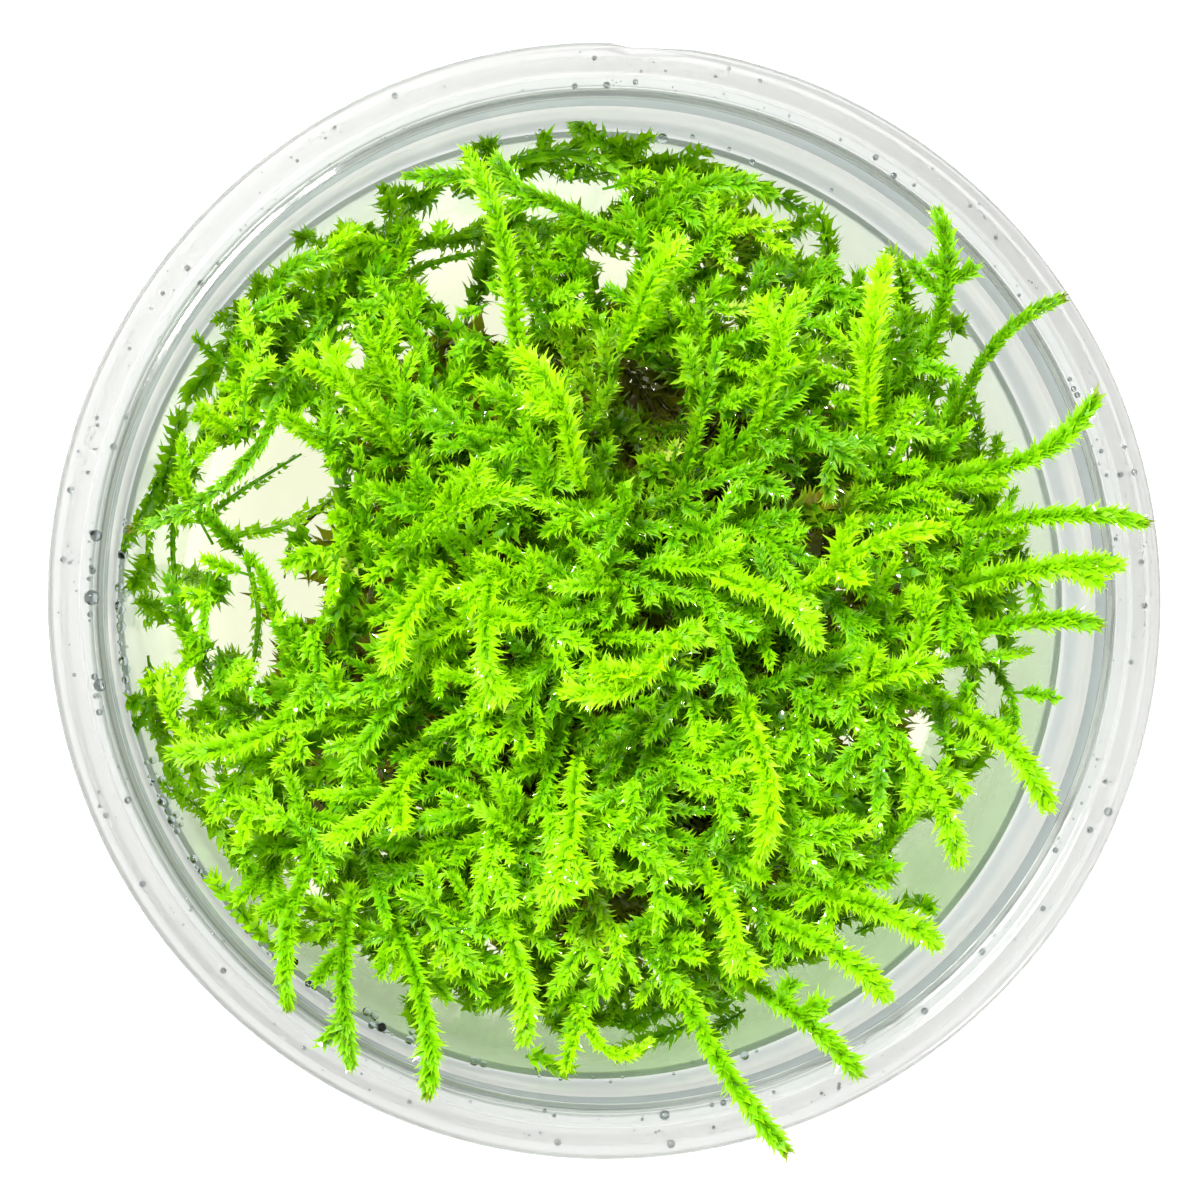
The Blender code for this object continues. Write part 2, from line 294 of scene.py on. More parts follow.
def milkyPlastic():
    # clear plastic with milk in it: greyest in the lid seat, green on the wall as painted reflection of the
    # moss, palest below with a painted yellow-green of light come through the moss
    f = Finish("milky clear plastic")
    x, y, z = f.parts(f.node("ShaderNodeTexCoord", output="Object"))
    reach = (x * x + y * y) ** 0.5
    cloud = f.noise(140.0, 3.0)
    dust = f.noise(2600.0, 1.0)
    # painted reflection of the moss: the wall greens towards the top, and most on the side where the shoots
    # lean on it, darker there as painted shade
    high = f.mixColour((z - 0.012) * 60.0, cup["taper"], cup["taperTopMossReflection"])
    taper = f.mixColour((x * 0.4 - y) * 30.0, high, cup["taperRightReflectionAndShade"])
    # each zone starts where its mask turns to one and paints over the one before it
    zones = ((z > cup["wallFrom"], taper), (z > cup["collarFrom"], cup["collar"]),
             (reach > cup["seatFrom"], cup["seat"]), (reach > cup["flangeFrom"], cup["flange"]))
    colour, milk = cup["bottom"], cup["milk"][0]
    for (mask, tint), amount in zip(zones, cup["milk"][1:]):
        colour = f.mixColour(mask, colour, tint)
        milk = mask * amount + (1 - mask) * milk
    # painted shade along the two grooves in the lid seat
    for start, end in cup["grooveShadeLines"]:
        colour = f.mixColour((reach > start) - (reach > end), colour, cup["grooveShade"])
    relief = f.node("ShaderNodeBump", None, {
        "Strength": 0.25, "Distance": 0.0001, "Height": cloud + dust * 0.25})
    clear = f.node("ShaderNodeBsdfPrincipled", None, {
        "Base Color": f.mixColour(0.5, colour, (1, 1, 1)), "Roughness": 0.05 + cloud * 0.12,
        "Normal": relief, "Transmission Weight": 1.0, "IOR": 1.49, "Specular IOR Level": 0.5})
    glow = f.node("ShaderNodeBsdfTranslucent", None, {"Color": colour})
    uneven = 1 - cup["cloudiness"] / 2 + cloud * cup["cloudiness"]
    return f.end(f.node("ShaderNodeMixShader", None, {0: milk * uneven, 1: clear, 2: glow}))


droplets = {
    "seed": 5, "size": (0.06, 0.26), "flange": 260, "flat": 0.6, "tint": (0.72, 0.79, 0.78, 1),
    # radius range and height of the drops on the flange and in the lid seat
    "rings": ((36.7, 37.3, 44.45), (37.9, 39.3, 45.0)),
    # bubbles that hug the ledge: bearing range in degrees and how many
    "bubbles": ((170, 250, 120), (250, 290, 14), (60, 100, 10)), "bubbleSize": (0.12, 0.42),
    "bubbleRise": (0.5, 1.3),
    # big drops: x, y and radius
    "big": ((-36.9, 0.0, 0.55), (-36.6, 4.4, 0.42), (-36.3, -6.2, 0.46), (3.9, -36.9, 0.36),
            (4.3, -38.9, 0.30), (-38.4, 7.6, 0.24), (36.0, -15.3, 0.34), (-30.2, 23.4, 0.22)),
}


def ballMesh(name, centres, radii, flatness, around=10, rings=6):
    # many small round drops in one mesh
    turn = np.linspace(0, math.tau, around, endpoint=False)
    tilt = np.linspace(0, math.pi, rings + 1)[1:-1]
    ball = polar(np.sin(tilt)[:, None], turn, np.outer(np.cos(tilt), np.ones(around))).reshape(-1, 3)
    ball = np.vstack([ball, [[0, 0, 1]], [[0, 0, -1]]])
    count, size = len(centres), len(ball)
    scale = np.stack([radii, radii, radii * flatness], axis=1)
    points = (centres[:, None] + ball[None] * scale[:, None]).reshape(-1, 3)
    quads, caps = ringQuads(rings - 1, around), ringCaps(size - 2, size - 1, (rings - 2) * around, around)
    offset = (np.arange(count) * size)[:, None, None]
    return meshFrom(name, points, [(quads + offset).reshape(-1, 4), (caps + offset).reshape(-1, 3)])[0]


def water():
    f = Finish("water drops")
    ripple = f.node("ShaderNodeBump", None, {"Strength": 0.1, "Distance": 0.00005, "Height": f.noise(3000.0)})
    return f.end(f.node("ShaderNodeBsdfPrincipled", None, {
        "Base Color": droplets["tint"], "Roughness": 0.0, "Normal": ripple,
        "Transmission Weight": 1.0, "IOR": 1.33}))


def makeDroplets():
    rng = np.random.default_rng(droplets["seed"])
    drops = []
    small, large = droplets["size"]
    for low, high, level in droplets["rings"]:
        n = droplets["flange"] // 2
        centres = polar(rng.uniform(low, high, n), rng.uniform(0, math.tau, n), np.full(n, level))
        drops.append((centres, small + (large - small) * rng.random(n) ** 3, np.full(n, droplets["flat"])))
    small, large = droplets["bubbleSize"]
    for start, end, n in droplets["bubbles"]:
        turn = np.radians(rng.uniform(start, end, n))
        z = cup["ledge"] + rng.normal(*droplets["bubbleRise"], n)
        radius = small + (large - small) * rng.random(n) ** 2
        drops.append((polar(innerRadius(z) - radius * 0.9, turn, z), radius, np.ones(n)))
    for x, y, radius in droplets["big"]:
        level = cup["height"] - (cup["seatStep"] if math.hypot(x, y) < cup["seatRadius"] else 0)
        drops.append((np.array([[x, y, level]]), np.array([radius]), np.array([droplets["flat"]])))
    mesh = ballMesh("cup_droplets", *(np.concatenate(part) for part in zip(*drops)))
    place("cup_droplets", mesh, water(), "clear_plastic")


leafShape = {
    # widest row and neck of the hair tip: place along the leaf and share of its width
    "rows": ((0.24, 1.0), (0.58, 0.30)),
    "hook": 2.2,                         # how late along the leaf its tip bends away
    "turn": 0.35,                        # how much the blade turns from row to row
    "corners": ((0, 2, 1), (1, 2, 4), (1, 4, 3), (3, 4, 5)),
    "points": 6,
    "step": 2.39996,                     # turn round the stem from leaf to leaf, so that no rows form
    "firstSize": 0.6, "sizeGain": 2.5,   # leaves start small and grow up the stem
    "budSize": 0.4, "budClose": 0.55,    # how much smaller and closer they are in the bud at the tip
    "sideSize": (0.88, 0.24), "sideWidth": (1.55, -0.65),    # on the shoot's top, and the change to its sides
    "sideTwist": 1.35,                   # a leaf at the side turns at its foot until its blade lies level
    "vary": {"turn": 0.25, "size": 0.14, "curl": 0.13, "twist": 0.3, "tone": 0.06},
    "shortest": 0.4, "longest": 2.2,
}
clearance = {
    "wall": 0.12, "flange": 0.06, "floor": 0.08,   # how far leaves stay off the plastic
    "rimDrop": 0.9,                      # from this far under the rim they may reach over it
    "overhang": 0.2,                     # and past the flange they hang free
}


def keepInCup(points):
    # leaves lie flat against the wall, and those that reach over it lie on the flange
    reach = np.hypot(points[:, 0], points[:, 1])
    limit = innerRadius(points[:, 2]) - clearance["wall"]
    beyond = reach > limit
    low = beyond & (points[:, 2] < cup["height"] - clearance["rimDrop"])
    points[low, :2] *= (limit[low] / reach[low])[:, None]
    over = beyond & ~low & (reach < cup["rim"] + clearance["overhang"])
    points[over, 2] = np.maximum(points[over, 2], cup["height"] + clearance["flange"])
    points[:, 2] = np.maximum(points[:, 2], cup["floor"] + clearance["floor"])
    return points


def samplePath(paths, shoot, s):
    # place and direction at fraction s of each listed shoot
    count = paths.shape[1] - 1
    spot = np.clip(s * count, 0, count - 1e-6)
    i = spot.astype(int)
    t = (spot - i)[:, None]
    a, b = paths[shoot, i], paths[shoot, i + 1]
    before = paths[shoot, np.maximum(i - 1, 0)]
    after = paths[shoot, np.minimum(i + 2, count)]
    along = unit((b - before) * (1 - t) + (after - a) * t)
    return a * (1 - t) + b * t, along


def leavesOn(rng, paths, look, shade):
    # places and shapes of the leaves of many shoots, as flat arrays
    lengths = np.linalg.norm(np.diff(paths, axis=1), axis=2).sum(axis=1)
    counts = np.maximum((lengths * (1 - look["bare"]) * look["perMm"]).astype(int), 4)
    shoot = np.repeat(np.arange(len(paths)), counts)
    n = len(shoot)
    order = np.arange(n) - np.repeat(np.cumsum(counts) - counts, counts)
    s = look["bare"] + (1 - look["bare"]) * (order + 0.5 * rng.random(n)) / counts[shoot]
    s = np.clip(s, 0, 1)
    base, along = samplePath(paths, shoot, s)
    # the shoots are flat: most leaves stand out to both sides and lie level, the others overlap
    side = unit(np.cross(along, up) + 1e-4)
    other = np.cross(along, side)
    shape, vary = leafShape, leafShape["vary"]
    turn = order * shape["step"] + rng.normal(0, vary["turn"], n) + (rng.random(len(paths)) * math.tau)[shoot]
    turn = turn - look["flat"] * 0.5 * np.sin(2 * turn)
    lateral = np.abs(np.cos(turn))
    roll = rng.normal(0, look["roll"], len(paths))[shoot]
    out = side * np.cos(turn + roll)[:, None] + other * np.sin(turn + roll)[:, None]
    bud = np.clip((s - look["bud"]) / (1 - look["bud"]), 0, 1)
    grow = np.clip(shape["firstSize"] + shape["sizeGain"] * (s - look["bare"]), shape["firstSize"], 1.0)
    grow = grow * (1 - shape["budSize"] * bud ** 2)
    sideSize, sideWidth = (top + change * lateral for top, change in (shape["sideSize"], shape["sideWidth"]))
    size = look["leaf"] * grow * rng.normal(1.0, vary["size"], n) * sideSize
    size = size * rng.uniform(1 - look["vary"], 1 + look["vary"], len(paths))[shoot]
    spread = look["close"] + (look["spread"] - look["close"]) * lateral
    spread = spread * (1 - shape["budClose"] * bud ** 1.5) + rng.normal(0, look["mess"], n)
    facing = np.sign(np.cos(turn)) * np.sign(np.sin(turn))
    twist = shape["sideTwist"] * lateral * facing + rng.normal(0, vary["twist"], n)
    tone = shade[shoot] + rng.normal(0, vary["tone"], n) + look["budTone"] * bud
    return {
        "base": base + out * look["stem"], "along": along, "out": out,
        "length": np.clip(size, shape["shortest"], shape["longest"]),
        "width": size * look["slim"] * sideWidth,
        "spread": np.radians(spread), "curl": look["curl"] * (1 - bud) + rng.normal(0, vary["curl"], n),
        "twist": twist, "tone": tone, "pale": np.zeros(n),
        "aged": np.clip((s - 1 + look["brown"]) / 0.04, 0, 1) * 0.8,
    }


def thin(leaves, keep):
    return {key: value[keep] for key, value in leaves.items()}


def leafMesh(leaves):
    # six points and four faces for each leaf: foot, widest row, neck and hooked hair tip
    n = len(leaves["length"])
    t, out = leaves["along"], leaves["out"]
    spread = leaves["spread"][:, None]
    axis = np.cos(spread) * t + np.sin(spread) * out
    hook = -np.sin(spread) * t + np.cos(spread) * out
    across = np.cross(t, out)
    length, width, curl = (leaves[key][:, None] for key in ("length", "width", "curl"))
    points, alongLeaf, acrossLeaf = [leaves["base"]], [0.0], [0]
    for number, (u, w) in enumerate(leafShape["rows"]):
        middle = leaves["base"] + length * (u * axis + curl * u ** leafShape["hook"] * hook)
        twist = leaves["twist"][:, None] * (1 + number * leafShape["turn"])
        blade = across * np.cos(twist) + hook * np.sin(twist)
        for side in (-1, 1):
            points.append(middle + side * w * width * blade)
            alongLeaf.append(u)
            acrossLeaf.append(side)
    points.append(leaves["base"] + length * (axis + curl * hook))
    alongLeaf.append(1.0)
    acrossLeaf.append(0)
    points = np.stack(points, axis=1).reshape(-1, 3)
    start = (np.arange(n) * leafShape["points"])[:, None]
    faces = np.concatenate([start + np.array(corner) for corner in leafShape["corners"]])
    return points, faces, np.stack([np.tile(alongLeaf, n), np.tile(acrossLeaf, n)], axis=1)


def stemMesh(paths, radius, sides=3):
    # a thin tapering stem along each path
    n, m = paths.shape[:2]
    along = unit(np.gradient(paths, axis=1))
    ref = unit(np.cross(along[:, :1], up + 0.01) + 1e-6)
    side = unit(np.cross(along, np.broadcast_to(ref, along.shape)))
    other = np.cross(along, side)
    taper = radius * (1 - 0.6 * np.linspace(0, 1, m) ** 2)
    turn = np.linspace(0, math.tau, sides, endpoint=False)
    ring = side[:, :, None] * np.cos(turn)[:, None] + other[:, :, None] * np.sin(turn)[:, None]
    points = (paths[:, :, None] + ring * taper[None, :, None, None]).reshape(-1, 3)
    shoot = (np.arange(n) * m * sides)[:, None, None]
    quads = (shoot + ringQuads(m, sides)[:, [0, 3, 2, 1]]).reshape(-1, 4)
    u = np.tile(np.repeat(np.linspace(0, 1, m), sides), n)
    v = np.tile(np.linspace(-1, 1, sides), n * m)
    return points, quads, np.stack([u, v], axis=1)


def mossMesh(name, leaves, paths, stemRadius, stemShade):
    # leaves and stems in one mesh, with a shade for each leaf and its own cell in the texture map
    leafPoints, leafFaces, leafLocal = leafMesh(leaves)
    stemPoints, stemQuads, stemLocal = stemMesh(paths, stemRadius)
    points = keepInCup(np.vstack([leafPoints, stemPoints]))
    nLeaves, nStems = len(leaves["tone"]), len(paths)
    perLeaf, perStem = leafShape["points"], len(stemPoints) // nStems
    mesh, corners = meshFrom(name, points, [leafFaces, stemQuads + len(leafPoints)])

    def perPoint(ofLeaves, ofStems):
        return np.concatenate([np.repeat(ofLeaves, perLeaf), np.repeat(ofStems, perStem)])

    green, none = np.zeros(nLeaves), np.zeros(nStems)
    local = np.vstack([leafLocal, stemLocal])
    shade = (local[:, 0], local[:, 1], perPoint(leaves["tone"], stemShade))
    kind = (perPoint(green, none + 1), perPoint(leaves["aged"], none), perPoint(leaves["pale"], none))
    for label, columns in (("leafShade", shade), ("leafKind", kind)):
        data = np.stack(columns, axis=1).astype(np.float32)
        mesh.attributes.new(label, "FLOAT_VECTOR", "POINT").data.foreach_set("vector", data.ravel())
    cell = perPoint(np.arange(nLeaves), nLeaves + np.arange(nStems))
    across, margin = math.ceil(math.sqrt(nLeaves + nStems)), 0.08
    uv = np.stack([(cell % across + 0.5 + (0.5 - margin) * local[:, 1]) / across,
                   (cell // across + margin + (1 - 2 * margin) * local[:, 0]) / across], axis=1)
    layer = mesh.uv_layers.new(name="OFBake")
    layer.data.foreach_set("uv", uv[corners].astype(np.float32).ravel())
    return mesh


mossColours = {
    # stops by tone from the deepest to the palest; leaf margin; stem; light that comes through;
    # and how much more light the pale leaves let through
    "young moss": {
        "stops": ((0.0, (0.014, 0.11, 0.0002)), (0.42, (0.118, 0.43, 0.0004)),
                  (0.82, (0.40, 0.78, 0.0012)), (1.0, (0.54, 0.89, 0.003))),
        "margin": (0.58, 0.90, 0.012), "stem": (0.16, 0.28, 0.004),
        "through": (0.42, 0.84, 0.002), "clear": 0.36},
    "shoot moss": {
        "stops": ((0.0, (0.016, 0.13, 0.0002)), (0.42, (0.135, 0.46, 0.0004)),
                  (0.82, (0.44, 0.81, 0.0012)), (1.0, (0.58, 0.91, 0.003))),
        "margin": (0.60, 0.92, 0.014), "stem": (0.18, 0.30, 0.004),
        "through": (0.45, 0.85, 0.002), "clear": 0.36},
    "old moss": {
        "stops": ((0.0, (0.012, 0.012, 0.0006)), (0.45, (0.075, 0.082, 0.0024)),
                  (0.8, (0.24, 0.25, 0.008)), (1.0, (0.48, 0.48, 0.03))),
        "margin": (0.26, 0.28, 0.012), "stem": (0.12, 0.09, 0.006),
        "through": (0.34, 0.42, 0.006), "clear": 0.2},
    "brown": (0.13, 0.085, 0.006), "dead": (0.68, 0.74, 0.12),
    "wetFrom": 0.46,                     # a film of water lies on the blotches above this
}


def mossFinish(name):
    # green that runs from deep to pale with each leaf's shade, thin enough to glow when lit from behind
    look = mossColours[name]
    f = Finish(name)
    alongLeaf, acrossLeaf, tone = f.parts(
        f.node("ShaderNodeAttribute", {"attribute_name": "leafShade"}, output="Vector"))
    isStem, aged, pale = f.parts(
        f.node("ShaderNodeAttribute", {"attribute_name": "leafKind"}, output="Vector"))
    blotch = f.noise(900.0, 1.5)
    level = tone + (blotch - 0.5) * 0.3
    body = f.node("ShaderNodeValToRGB", {"stops": look["stops"]}, {0: level})
    rim = (acrossLeaf * acrossLeaf) ** 3.0
    edge = (alongLeaf * alongLeaf * 0.55 + rim * 0.35) * (1 - isStem)
    leaf = f.mixColour(edge, body, look["margin"])
    green = f.mixColour(isStem * 0.3, leaf, look["stem"])
    old = f.mixColour(aged, green, mossColours["brown"])
    colour = f.mixColour(pale, old, mossColours["dead"])
    surface = f.node("ShaderNodeBsdfPrincipled", None, {
        "Base Color": colour, "Roughness": 0.34 + blotch * 0.25, "Specular IOR Level": 0.16,
        "Coat Weight": blotch > mossColours["wetFrom"], "Coat Roughness": 0.06, "Coat IOR": 1.6})
    behind = f.node("ShaderNodeBsdfTranslucent", None, {"Color": (*look["through"], 1)})
    factor = (0.22 + level * look["clear"] + isStem * 0.25) * (1 - aged * 0.7)
    return f.end(f.node("ShaderNodeMixShader", None, {0: factor, 1: surface, 2: behind}))


clump = {
    "heart": (1.0, 3.0),                   # the shoots lean away from here
    "level": 41.5, "fall": (26.0, 0.45),   # height of the top, and its slope beyond this radius
    "tipRise": (0.2, 1.1), "wind": 0.14,   # how uneven the tips are and how much the shoots wander
    "twigAngle": (38, 62), "twigLast": 0.88,
    # hollows in the top: place, half widths and depth
    "hollows": ((2.5, 12.5, 4.6, 6.0, 15.0), (2.5, -1.6, 2.6, 1.8, 11.0), (-0.4, -7.4, 2.8, 1.7, 11.0),
                (15.6, 4.2, 3.0, 1.9, 9.0), (-22.0, 4.0, 6.0, 7.0, 4.0), (-8.0, 24.0, 9.0, 5.0, 6.0),
                (8.6, 13.0, 1.6, 2.6, 9.0)),
    # sight holes that run down to the floor: place at the rim's height and half widths
    "sightHoles": ((-24.2, 7.8, 3.7, 4.2), (-21.8, 0.1, 1.7, 1.7), (-24.6, -3.8, 1.3, 1.9),
                   (-27.6, -2.0, 1.1, 1.8), (-31.8, -3.1, 1.5, 1.1), (-31.6, 3.8, 0.9, 2.0),
                   (-27.3, 3.0, 0.9, 0.6), (-29.7, -6.2, 0.8, 1.4), (-18.4, 8.7, 0.7, 0.7),
                   (-16.7, 6.7, 0.7, 0.5), (-11.8, 23.2, 2.4, 2.0), (0.2, 24.0, 2.0, 1.6),
                   (-7.4, 19.8, 1.8, 1.7), (-19.2, 16.2, 1.3, 1.7), (-4.4, 28.4, 4.4, 1.3),
                   (-7.6, -30.6, 3.6, 1.7), (22.6, -10.8, 1.3, 1.7),
                   (23.4, -18.6, 2.6, 3.4), (13.0, -28.4, 3.2, 2.2), (-20.6, -26.0, 1.8, 1.5),
                   (27.6, -18.0, 2.6, 3.4), (19.5, -25.8, 2.6, 1.6)),
    # wells that end among older moss: place at the rim's height, half widths and floor
    "wells": ((2.2, 13.2, 2.4, 3.4, 28.0), (2.7, -1.6, 1.5, 1.0, 17.0), (-0.4, -7.6, 1.7, 1.0, 17.0),
              (15.2, 4.2, 1.8, 1.1, 17.0), (9.2, 12.6, 0.7, 1.4, 24.0), (1.0, -22.0, 1.0, 1.4, 24.0)),
    "holeLean": (26.0, 8.0, 300.0),        # how the holes lean outwards with depth
    # the holes widen below a height, over so many millimetres, by at most this share
    "widen": (26.0, 14.0, 1.3),
    # patches of fresh green, and of deep green that also carry painted shade in the deep places
    "freshSpots": ((-9.7, -0.9, 6.0), (7.2, -0.9, 3.6), (-5.4, 17.0, 3.6), (18.3, 17.0, 4.0),
                   (10.8, -12.4, 2.6), (25.4, 5.5, 5.0), (-25.0, -13.0, 5.0), (-3.2, -24.0, 3.2),
                   (-17.0, 19.0, 3.6)),
    "deepGreenAndShadeSpots": ((2.5, 8.4, 3.6), (1.0, -10.0, 4.2), (15.4, 4.1, 3.0), (6.8, -21.7, 4.6), (13.0, 9.0, 3.4),
                  (21.0, -6.0, 3.4), (-15.0, -13.0, 4.0), (-13.0, 10.0, 3.0)),
    # where older brown leaves and pale dead ones show, and the least and most of brown by depth
    "brownBy": (0.55, 1.3),
    "brownSpots": ((2.5, 13.5, 4.8), (-1.0, -22.5, 2.6), (17.0, 7.0, 2.4), (11.0, 28.0, 2.4),
                   (-1.5, 18.0, 2.6)),
    "paleSpots": ((5.4, 11.3, 0.8), (1.4, 11.6, 0.7), (3.4, 15.2, 0.7), (-0.4, -25.3, 0.7),
                  (-12.5, -25.3, 0.7), (-16.8, 7.0, 0.7), (-18.3, 2.7, 0.6), (9.7, 21.3, 0.8),
                  (11.8, 19.1, 0.6), (16.1, 17.7, 0.6), (-18.6, 15.9, 0.7), (9.0, 25.0, 0.6)),
    # how much the tone follows the left side, the heart, the coarse and fine patches and the spots
    "toneBy": (0.05, -0.12, 0.12, 0.07, 0.17),
}


def topHeight(x, y):
    radius, slope = clump["fall"]
    z = clump["level"] - slope * np.clip(np.hypot(x, y) - radius, 0, None)
    z = z + 0.9 * np.sin(0.55 * x + 1.3) * np.sin(0.48 * y + 0.4) + 0.7 * np.sin(0.9 * x - 0.7 * y)
    for cx, cy, wx, wy, depth in clump["hollows"]:
        z = z - depth * np.exp(-((x - cx) / wx) ** 2 - ((y - cy) / wy) ** 2)
    return z


def inSightHole(points, grow=1.0):
    leanX, leanY, distance = clump["holeLean"]
    depth = cup["height"] - points[..., 2]
    x = points[..., 0] - depth * (points[..., 0] + leanX) / distance
    y = points[..., 1] - depth * (points[..., 1] + leanY) / distance
    inside = np.zeros(x.shape, dtype=bool)
    openings = [(*hole, 0.0) for hole in clump["sightHoles"]] + list(clump["wells"])
    for cx, cy, wx, wy, floor in openings:
        bearing = np.arctan2(y - cy, x - cx)
        wobble = 1 + 0.22 * np.sin(3 * bearing + cx) + 0.14 * np.sin(7 * bearing + cy)
        spread = ((x - cx) / wx) ** 2 + ((y - cy) / wy) ** 2
        inside |= (spread < grow * wobble) & (points[..., 2] > floor)
    return inside


def clearOfHoles(paths, shortest=0.4):
    # each shoot keeps its longest stretch outside the sight holes, and short remains go
    count = paths.shape[1]
    blocked = inSightHole(paths, 1.1)
    kept, which = [], []
    for number in range(len(paths)):
        edges = np.flatnonzero(np.diff(np.concatenate(([1], blocked[number].astype(int), [1]))))
        runs = edges.reshape(-1, 2)
        if not len(runs):
            continue
        start, end = runs[np.argmax(runs[:, 1] - runs[:, 0])]
        if end - start < shortest * count:
            continue
        at = np.linspace(start, end - 1, count)
        i = np.minimum(at.astype(int), count - 2)
        t = (at - i)[:, None]
        kept.append(paths[number, i] * (1 - t) + paths[number, i + 1] * t)
        which.append(number)
    return np.array(kept), np.array(which)


def along3(p0, p1, p2, p3, samples):
    # cubic curves for many shoots at once
    s = np.linspace(0, 1, samples)[None, :, None]
    p0, p1, p2, p3 = (p[:, None, :] for p in (p0, p1, p2, p3))
    return (1 - s) ** 3 * p0 + 3 * s * (1 - s) ** 2 * p1 + 3 * s * s * (1 - s) * p2 + s ** 3 * p3


def scatter(rng, count, radius, gap):
    # places in a disc that keep a distance; the clump reaches less far to the right
    tries = rng.uniform(-radius, radius, (count * 40, 2))
    reach = np.hypot(tries[:, 0], tries[:, 1])
    tries = tries[reach < radius - 1.3 - 0.7 * tries[:, 0] / np.maximum(reach, 1e-6)]
    kept = tries[:1]
    for spot in tries[1:]:
        if len(kept) == count:
            break
        if np.min(np.hypot(*(kept - spot).T)) > gap:
            kept = np.vstack([kept, spot])
    return kept


def outwards(rng, x, y, scatterDeg):
    # leaning away from the heart, and along the wall near it
    hx, hy = clump["heart"]
    bearing = np.arctan2(y - hy, x - hx) + np.radians(rng.normal(0, scatterDeg, len(x)))
    wall = np.clip((np.hypot(x, y) - 27) / 6, 0, 1)
    swing = np.where(rng.random(len(x)) < 0.5, -1, 1) * rng.uniform(0.5, 1.3, len(x))
    bearing = bearing + wall * swing
    return polar(1.0, bearing, np.zeros(len(x)))


def carpetPaths(rng, layer):
    # shoots that rise out of the mass, arch over and lie along the top
    spots = scatter(rng, layer["count"], layer["radius"], layer["gap"])
    x, y = spots[:, 0], spots[:, 1]
    n = len(spots)
    lean = outwards(rng, x, y, layer["scatter"])
    length = rng.uniform(*layer["length"], n)
    tip = np.stack([x, y, topHeight(x, y) - layer["sink"] + rng.normal(*clump["tipRise"], n)], axis=1)
    rise = np.radians(rng.uniform(*layer["rise"], n))[:, None]
    wind = rng.normal(0, clump["wind"], (n, 3)) * length[:, None]
    end = lean * np.cos(rise) + up * np.sin(rise)
    over, under = (share * length[:, None] for share in layer["reach"])
    root = tip - lean * over - up * under + wind * 0.6
    # the root stays off the wall and below the local surface, so that hollows stay open
    far = np.hypot(root[:, 0], root[:, 1])
    root[:, :2] *= np.minimum(1, layer["rootReach"] / np.maximum(far, 1e-6))[:, None]
    root[:, 2] = np.minimum(root[:, 2], topHeight(root[:, 0], root[:, 1]) - 0.25 * length)
    p1 = root + up * (0.34 * length)[:, None] + lean * (0.10 * length)[:, None]
    p2 = tip - end * (0.38 * length)[:, None] + wind * 0.3
    p1[:, 2] = np.minimum(p1[:, 2], topHeight(p1[:, 0], p1[:, 1]))
    return along3(root, p1, p2, tip, layer["samples"])


def branchesOf(rng, paths, share, length, start=0.35):
    # short side shoots, mostly level with their parent
    count = rng.binomial(3, share, len(paths))
    parent = np.repeat(np.arange(len(paths)), count)
    s = rng.uniform(start, clump["twigLast"], len(parent))
    base, along = samplePath(paths, parent, s)
    sideways = unit(np.cross(along, up) + rng.normal(0, 0.25, along.shape))
    sideways *= np.where(rng.random(len(parent)) < 0.5, -1, 1)[:, None]
    angle = np.radians(rng.uniform(*clump["twigAngle"], len(parent)))[:, None]
    size = (rng.uniform(*length, len(parent)) * (1.15 - 0.5 * s))[:, None]
    way = np.cos(angle) * along + np.sin(angle) * sideways + 0.12 * up
    tip = base + size * (way + 0.18 * along)
    return along3(base, base + way * size * 0.35, base + way * size * 0.7, tip, paths.shape[1]), parent


def spotAmount(x, y, spots):
    # round soft spots: place and size
    return sum(np.exp(-((x - cx) ** 2 + (y - cy) ** 2) / size ** 2) for cx, cy, size in spots)


def regionShade(x, y):
    # fresher towards the left and the edge, darker round the heart, in patches of some millimetres; the
    # darkening round the heart and at the deep spots is painted shade over the hollows as well as deeper
    # green
    near = np.exp(-((x - 5) / 11) ** 2 - ((y - 2) / 13) ** 2)
    spots = spotAmount(x, y, clump["freshSpots"]) - spotAmount(x, y, clump["deepGreenAndShadeSpots"])
    patches = np.sin(0.62 * x + 1.2 * np.sin(0.5 * y)) * np.sin(0.55 * y + 1.5 * np.sin(0.37 * x + 1))
    fine = np.sin(1.3 * x + 2 * np.sin(0.9 * y + 2)) * np.sin(1.2 * y + 1)
    parts = (np.clip(-x / 25, -0.6, 1), near, patches, fine, spots)
    return sum(share * part for share, part in zip(clump["toneBy"], parts))


carpet = {
    "seed": 11, "count": 310, "radius": 33.6, "gap": 2.25, "scatter": 44, "sink": 0.0,
    "length": (12, 19), "rise": (-16, 46), "reach": (0.66, 0.56), "samples": 12, "rootReach": 28.0,
    "pieces": 4, "shade": (0.42, 0.84), "branches": 0.75, "branchLength": (2.2, 5.2), "depthPaintedShade": 0.06,
}
carpetLook = {
    "perMm": 19.5, "bare": 0.26, "bud": 0.86, "leaf": 0.88, "slim": 0.26, "spread": 47, "close": 16,
    "flat": 0.30, "roll": 0.5, "mess": 11, "vary": 0.2, "curl": 0.10, "stem": 0.1, "budTone": 0.10,
    "brown": 0.0,
}
understory = dict(
    carpet, seed=23, count=250, radius=33.0, gap=2.2, scatter=60, sink=5.5, length=(12, 18), rise=(-10, 45),
    reach=(0.6, 0.6), samples=10, rootReach=29.0, pieces=2, shade=(0.20, 0.55), branches=0.25,
    branchLength=(2.6, 6.0), depthPaintedShade=0.02)
understoryLook = dict(carpetLook, perMm=7.6, bare=0.30, leaf=1.5, slim=0.30, roll=0.8)


def growPaths(rng, paths, shade, share, length):
    # add side shoots, then keep everything out of the sight holes
    side, parent = branchesOf(rng, paths, share, length)
    paths = np.concatenate([paths, side])
    shade = np.concatenate([shade, shade[parent] + 0.06])
    paths, which = clearOfHoles(paths)
    return paths, shade[which]


